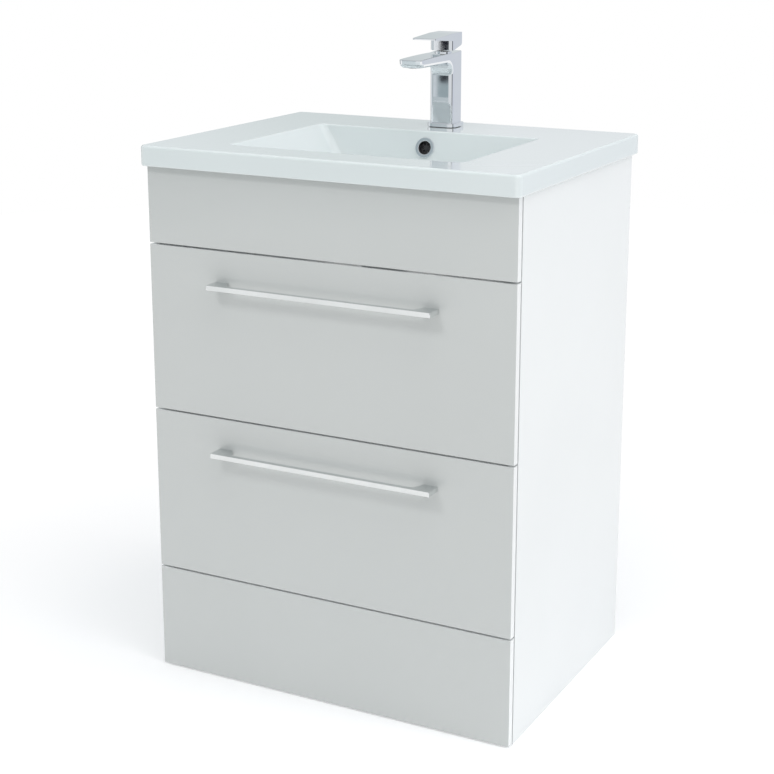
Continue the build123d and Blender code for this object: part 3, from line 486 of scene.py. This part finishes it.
def make_light():
    """The procedural studio, a large key from the right and two fills."""
    make_world()
    for lamp in LAMPS:
        area_light(*lamp)
    scene.view_settings.view_transform = "Standard"
    scene.view_settings.look = "None"


# ---- Small parts --------------------------------------------------------------------------------
MICROMETRES = 1e6                         # in a metre: vertices closer than one are taken as the same
SAME_LENGTH = 1e-5
SMOOTH_ANGLE = math.radians(35.0)


def islands(node):
    """(lowest corner, highest corner, points) of each separate solid in a CAD node."""
    mesh = NODES[node].data
    spots = {}
    parent = {}

    def root(key):
        while parent[key] != key:
            parent[key] = parent[parent[key]]
            key = parent[key]
        return key

    for vertex in mesh.vertices:
        key = tuple(round(c * MICROMETRES) for c in vertex.co)
        spots[vertex.index] = key
        parent.setdefault(key, key)
    for edge in mesh.edges:
        first, second = (root(spots[v]) for v in edge.vertices)
        if first != second:
            parent[max(first, second)] = min(first, second)
    groups = {}
    for vertex in mesh.vertices:
        groups.setdefault(root(spots[vertex.index]), []).append(vertex.co)
    boxes = []
    for key in sorted(groups):
        points = groups[key]
        boxes.append((Vector([min(p[i] for p in points) for i in range(3)]),
                      Vector([max(p[i] for p in points) for i in range(3)]), points))
    return boxes


def finish_piece(name, mesh, material_slot, body, replaced=()):
    """Links a mesh as a piece: the slot's material, shading and body; the nodes it stands for are
    hidden.
    """
    piece = bpy.data.objects.new(name, mesh)
    scene.collection.objects.link(piece)
    mesh.materials.clear()
    mesh.materials.append(MATERIALS[material_slot])
    for face in mesh.polygons:
        face.use_smooth = True
    mesh.set_sharp_from_angle(angle=SMOOTH_ANGLE)
    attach(piece, body)
    if replaced:
        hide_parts(*replaced)


def lathe(profile, sides=32):
    """A closed solid turned about Z, from (radius, height) points that start and end on the axis."""
    mesh = bmesh.new()
    rings = []
    for radius, height in profile:
        if radius == 0:
            rings.append([mesh.verts.new((0, 0, height))])
            continue
        turns = [2 * math.pi * i / sides for i in range(sides)]
        rings.append([mesh.verts.new((radius * math.cos(t), radius * math.sin(t), height))
                      for t in turns])
    for low_ring, high_ring in zip(rings, rings[1:]):
        for i in range(sides):
            j = (i + 1) % sides
            if len(low_ring) == 1:
                mesh.faces.new((low_ring[0], high_ring[j], high_ring[i]))
            elif len(high_ring) == 1:
                mesh.faces.new((low_ring[i], low_ring[j], high_ring[0]))
            else:
                mesh.faces.new((low_ring[i], low_ring[j], high_ring[j], high_ring[i]))
    bmesh.ops.recalc_face_normals(mesh, faces=mesh.faces)
    return mesh


def to_mesh(name, made):
    """The bmesh as a named mesh; the bmesh is freed."""
    mesh = bpy.data.meshes.new(name)
    made.to_mesh(mesh)
    made.free()
    return mesh


BLADE_CORE, BLADE_TAPER = 0.6, 0.4        # shares of a blade's thickness that stay and that taper
BLOCK_FACES = ((0, 1, 2, 3), (7, 6, 5, 4), (0, 4, 5, 1), (1, 5, 6, 2), (2, 6, 7, 3), (3, 7, 4, 0))


def tapered_cross(reach, width, top, bottom, taper):
    """The driver recess as a solid: two crossed blades that narrow towards the bottom."""
    made = bmesh.new()
    for turn in (0.0, math.pi / 2):
        spin = Matrix.Rotation(turn, 4, "Z")
        corners = []
        for height, share in ((top, 1.0), (bottom, taper)):
            for sx, sy in ((-1, -1), (1, -1), (1, 1), (-1, 1)):
                thick = width * (BLADE_CORE + BLADE_TAPER * share)
                point = Vector((sx * reach * share, sy * thick, height))
                corners.append(made.verts.new(spin @ point))
        for quad in BLOCK_FACES:
            made.faces.new([corners[i] for i in quad])
    bmesh.ops.recalc_face_normals(made, faces=made.faces)
    return to_mesh("cross_tool", made)


def cut_away(mesh, tools):
    """The mesh less each tool, by exact boolean, as a new mesh."""
    work = bpy.data.objects.new("cut_work", mesh)
    scene.collection.objects.link(work)
    helpers = []
    for tool in tools:
        helper = bpy.data.objects.new("cut_tool", tool)
        scene.collection.objects.link(helper)
        helpers.append(helper)
        step = work.modifiers.new("cut", "BOOLEAN")
        step.operation = "DIFFERENCE"
        step.solver = "EXACT"
        step.use_self = True
        step.object = helper
    bpy.context.view_layer.update()
    graph = bpy.context.evaluated_depsgraph_get()
    result = bpy.data.meshes.new_from_object(work.evaluated_get(graph))
    for helper in helpers + [work]:
        bpy.data.objects.remove(helper)
    return result


def scatter(name, prototype, places, material_slot, body, replaced):
    """One piece made of a copy of the prototype mesh at each place matrix."""
    made = bmesh.new()
    for place in places:
        copy = prototype.copy()
        copy.transform(place)
        made.from_mesh(copy)
        bpy.data.meshes.remove(copy)
    finish_piece(name, to_mesh(name, made), material_slot, body, replaced)


def along(axis, direction):
    """The rotation that turns +Z to the given axis and way."""
    target = Vector([direction if i == axis else 0 for i in range(3)])
    return target.to_track_quat("Z", "Y").to_matrix().to_4x4()


SCREW_PITCH = 0.0016
SCREW_ROOT, SCREW_NECK = 0.74, 0.8        # radii of the thread's root and the neck, over the shank's
SCREW_TIP, SCREW_TIP_LENGTH = 0.55, 1.6   # the point's radius and length, over the shank's radius
SCREW_PLAIN = 2.5                         # the length with no thread, over the shank's radius
THREAD_FOOT, THREAD_RISE, THREAD_CREST = 0.3, 0.55, 0.68      # the thread's corners, over the pitch
EDGE = 0.0001                             # small chamfers on the heads
FLAT_HEAD_RATIO, FLAT_HEAD_HEIGHT = 1.9, 0.0012
PAN_HEAD_HEIGHT = 0.0023
HEAD_PROUD = 0.00015                      # flat heads stand this much off the face they are sunk in
SCREW_SIDES = 24
SCREW_NODES = ("fixed_panel_screws", "runner_screws", "wall_bracket_screws",
               "upper_drawer_screws", "lower_drawer_screws")


def screw_mesh(length, shank, head, head_height, countersunk):
    """A cross-recessed screw, head up at z = 0, with a rolled thread and a tapered point."""
    root, neck = shank * SCREW_ROOT, shank * SCREW_NECK
    turns = max(2, int((length - head_height - SCREW_PLAIN * shank) / SCREW_PITCH))
    outline = [(0.0, -length)]
    level = -length + shank * SCREW_TIP_LENGTH
    outline.append((shank * SCREW_TIP, level))
    for _ in range(turns):
        outline.extend(((root, level), (root, level + SCREW_PITCH * THREAD_FOOT),
                        (shank, level + SCREW_PITCH * THREAD_RISE),
                        (shank, level + SCREW_PITCH * THREAD_CREST)))
        level += SCREW_PITCH
    outline.append((neck, min(level, -head_height - 0.0004)))
    outline.append((neck, -head_height))
    if countersunk:
        outline.extend(((head, -0.00025), (head, -EDGE), (head - EDGE, 0.0)))
    else:
        outline.extend(((head - EDGE, -head_height), (head, -head_height + EDGE),
                        (head, -head_height * 0.45), (head * 0.86, -head_height * 0.14),
                        (head * 0.55, 0.0)))
    outline.append((0.0, 0.0))
    blank = to_mesh("screw_blank", lathe(outline, SCREW_SIDES))
    recess = tapered_cross(reach=head * 0.56, width=head * 0.11,
                           top=0.0004, bottom=-head_height * 0.72, taper=0.45)
    return cut_away(blank, [recess])


def end_radius(points, axis, end, centre):
    """How far a solid's points at one end of its axis lie from that axis."""
    others = [i for i in range(3) if i != axis]
    return max(math.hypot(*(p[i] - centre[i] for i in others))
               for p in points if abs(p[axis] - end) < SAME_LENGTH)


def screw_places(node):
    """For each screw in a node: its long axis, centre, corners and the radius at each end."""
    found = []
    for low_corner, high_corner, points in islands(node):
        size = high_corner - low_corner
        axis = max(range(3), key=lambda i: size[i])
        centre = (low_corner + high_corner) / 2
        low_radius = end_radius(points, axis, low_corner[axis], centre)
        high_radius = end_radius(points, axis, high_corner[axis], centre)
        found.append((axis, centre, low_corner, high_corner, low_radius, high_radius))
    return found


def make_screws():
    """Every screw with a driver recess and a thread, in the place of its plain CAD solid."""
    prototypes = {}
    for node in SCREW_NODES:
        made = bmesh.new()
        for axis, centre, low_corner, high_corner, low_radius, high_radius in screw_places(node):
            flat = abs(low_radius - high_radius) < SAME_LENGTH
            if flat:
                # the cabinet members' heads face the middle, the drawer members' heads face outwards
                outwards = 1 if centre[axis] > 0 else -1
                way = -outwards if node == "runner_screws" else outwards
                shank, head = low_radius, low_radius * FLAT_HEAD_RATIO
                head_height = FLAT_HEAD_HEIGHT
            else:
                way = 1 if high_radius > low_radius else -1
                shank, head = min(low_radius, high_radius), max(low_radius, high_radius)
                head_height = PAN_HEAD_HEIGHT
            length = high_corner[axis] - low_corner[axis]
            kind = (round(length, 5), round(shank, 5), round(head, 5), flat)
            if kind not in prototypes:
                prototypes[kind] = screw_mesh(length, shank, head, head_height, flat)
            spot = centre.copy()
            spot[axis] = high_corner[axis] if way > 0 else low_corner[axis]
            if flat:
                spot[axis] += way * HEAD_PROUD
            copy = prototypes[kind].copy()
            copy.transform(Matrix.Translation(spot) @ along(axis, way))
            made.from_mesh(copy)
            bpy.data.meshes.remove(copy)
        name = node + "_detail"
        finish_piece(name, to_mesh(name, made), SLOT_OF[node], BODY_OF[node], (node,))


CAM_RADIUS, CAM_DEPTH = 0.0075, 0.0125
CAM_BACK_EDGE, CAM_FRONT_EDGE = 0.0004, 0.0006
CAM_MARK_REACH, CAM_MARK_SIZE = 0.0062, (0.0013, 0.0006, 0.0012, 1)
CAM_TURN, CAM_TURN_STEP = 20, 35          # degrees: no two neighbours are tightened quite alike


def make_cams():
    """Cam locks: cast discs with a cross slot, a rim chamfer and the pointer mark."""
    blank = to_mesh("cam_blank", lathe([
        (0, -CAM_DEPTH), (CAM_RADIUS - CAM_BACK_EDGE, -CAM_DEPTH),
        (CAM_RADIUS, -CAM_DEPTH + CAM_BACK_EDGE),
        (CAM_RADIUS, -CAM_FRONT_EDGE), (CAM_RADIUS - CAM_FRONT_EDGE, 0.0), (0, 0.0)], 40))
    slot_tool = tapered_cross(reach=0.0046, width=0.0008, top=0.0005, bottom=-0.0035, taper=0.6)
    marks = bmesh.new()
    bmesh.ops.create_cube(marks, size=1.0)
    marks.transform(Matrix.Translation((CAM_MARK_REACH, 0, 0)) @ Matrix.Diagonal(CAM_MARK_SIZE))
    cam = cut_away(blank, [slot_tool, to_mesh("cam_mark", marks)])
    places = []
    for low_corner, high_corner, _ in islands("cam_locks"):
        size = high_corner - low_corner
        axis = min(range(3), key=lambda i: abs(size[i] - CAM_DEPTH))
        spot = (low_corner + high_corner) / 2
        if axis == 2:
            way = -1                      # a lock in a board that lies flat is turned from below
        else:
            way = 1 if spot[axis] < 0 else -1
        spot[axis] = high_corner[axis] if way > 0 else low_corner[axis]
        spin = Matrix.Rotation(math.radians(CAM_TURN + CAM_TURN_STEP * (len(places) % 3)), 4, "Z")
        places.append(Matrix.Translation(spot) @ along(axis, way) @ spin)
    scatter("cam_locks_detail", cam, places, SLOT_OF["cam_locks"], BODY_OF["cam_locks"], ("cam_locks",))


RIDGE_STEPS = 36                          # sections per turn of a thread
RIDGE_SECTION = ((-0.46, -0.12), (0.0, 1.0), (0.46, -0.12))   # over the pitch, over the thread's height


def helix_ridge(name, centre, low_z, high_z, radius, pitch, rise, material_slot, body):
    """The raised thread of a screwed pipe or stud: a triangular ridge wound on a cylinder."""
    made = bmesh.new()
    steps = int((high_z - low_z) / pitch * RIDGE_STEPS)
    run_out = RIDGE_STEPS / 2
    previous = None
    for i in range(steps + 1):
        turn = 2 * math.pi * i / RIDGE_STEPS
        height = low_z + (high_z - low_z) * i / steps
        fade = min(1.0, i / run_out, (steps - i) / run_out)
        ring = []
        for dz, out in RIDGE_SECTION:
            reach = radius + rise * (out * fade if out > 0 else out)
            ring.append(made.verts.new((centre[0] + reach * math.cos(turn),
                                        centre[1] + reach * math.sin(turn),
                                        height + dz * pitch)))
        if previous:
            for k in range(3):
                n = (k + 1) % 3
                made.faces.new((previous[k], previous[n], ring[n], ring[k]))
        else:
            made.faces.new(ring)
        previous = ring
    made.faces.new(previous[::-1])
    bmesh.ops.recalc_face_normals(made, faces=made.faces)
    finish_piece(name, to_mesh(name, made), material_slot, body)


TAIL_RADIUS, TAIL_PITCH, TAIL_RISE = 0.02095, 0.0023, 0.0003
TAIL_THREAD_FROM, TAIL_THREAD_TO = 0.0015, 0.0435     # above the waste's lower end
STUD_CORE, STUD_PITCH, STUD_RISE = 0.0039, 0.00125, 0.0001
STUD_MARGIN = 0.001


def make_threads():
    """Threads on the waste's tail and the tap's fixing stud."""
    low_corner, high_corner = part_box("waste_body")
    centre = (low_corner + high_corner) / 2
    helix_ridge("waste_outlet_thread", centre,
                low_corner.z + TAIL_THREAD_FROM, low_corner.z + TAIL_THREAD_TO,
                TAIL_RADIUS - TAIL_RISE, TAIL_PITCH, TAIL_RISE, SLOT_OF["waste_body"], "carcass")
    low_corner, high_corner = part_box("tap_stud")
    centre = (low_corner + high_corner) / 2
    nut_low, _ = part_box("tap_nut")
    helix_ridge("tap_stud_thread", centre, low_corner.z + STUD_MARGIN, nut_low.z - STUD_MARGIN,
                STUD_CORE, STUD_PITCH, STUD_RISE, SLOT_OF["tap_stud"], "carcass")


OVERFLOW_LEAN = 26.0 / 105.0              # the bowl's back wall, in by down
# Sizes of the black sleeve and disc that paint shade into the overflow's opening.
SHADE_SLEEVE_R, SHADE_SLEEVE_WALL = 0.0105, 0.0008
SHADE_SLEEVE_BACK, SHADE_SLEEVE_DISC, SHADE_SLEEVE_LENGTH = 0.0046, 0.0030, 0.0072
SHADE_SLEEVE_HOLES, SHADE_SLEEVE_HOLE_R, SHADE_SLEEVE_HOLE_RING = 6, 0.0019, 0.0062


def make_overflow_painted_shade_sleeve():
    """Painted shade: a black sleeve and drilled disc inside the overflow's chrome ring, standing in for
    the shade deep in the unlit overflow duct.
    """
    low_corner, high_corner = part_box("overflow_ring")
    centre = (low_corner + high_corner) / 2
    inner, front = SHADE_SLEEVE_R - SHADE_SLEEVE_WALL, -SHADE_SLEEVE_BACK + SHADE_SLEEVE_LENGTH
    cup = lathe([(0.0, -SHADE_SLEEVE_DISC), (inner, -SHADE_SLEEVE_DISC), (inner, front),
                 (SHADE_SLEEVE_R, front), (SHADE_SLEEVE_R, -SHADE_SLEEVE_BACK), (0.0, -SHADE_SLEEVE_BACK)], 48)
    holes = bmesh.new()
    for i in range(SHADE_SLEEVE_HOLES):
        turn = 2 * math.pi * i / SHADE_SLEEVE_HOLES
        place = Matrix.Translation((SHADE_SLEEVE_HOLE_RING * math.cos(turn),
                                    SHADE_SLEEVE_HOLE_RING * math.sin(turn), -0.004))
        bmesh.ops.create_cone(holes, cap_ends=True, segments=20, radius1=SHADE_SLEEVE_HOLE_R,
                              radius2=SHADE_SLEEVE_HOLE_R, depth=0.006, matrix=place)
    mesh = cut_away(to_mesh("shade_sleeve_blank", cup), [to_mesh("shade_sleeve_holes", holes)])
    lean = math.atan2(OVERFLOW_LEAN, 1.0)
    face_front = Matrix.Rotation(math.pi / 2, 4, "X")
    mesh.transform(Matrix.Translation(centre) @ Matrix.Rotation(-lean, 4, "X") @ face_front)
    # The black plastic here is painted shade for the overflow's deep, unlit duct.
    finish_piece("overflow_painted_shade_sleeve", mesh, "black_plastic", "carcass")


make_camera()
make_light()
make_floor()
dress_cad_nodes()
make_screws()
make_cams()
make_threads()
make_overflow_painted_shade_sleeve()
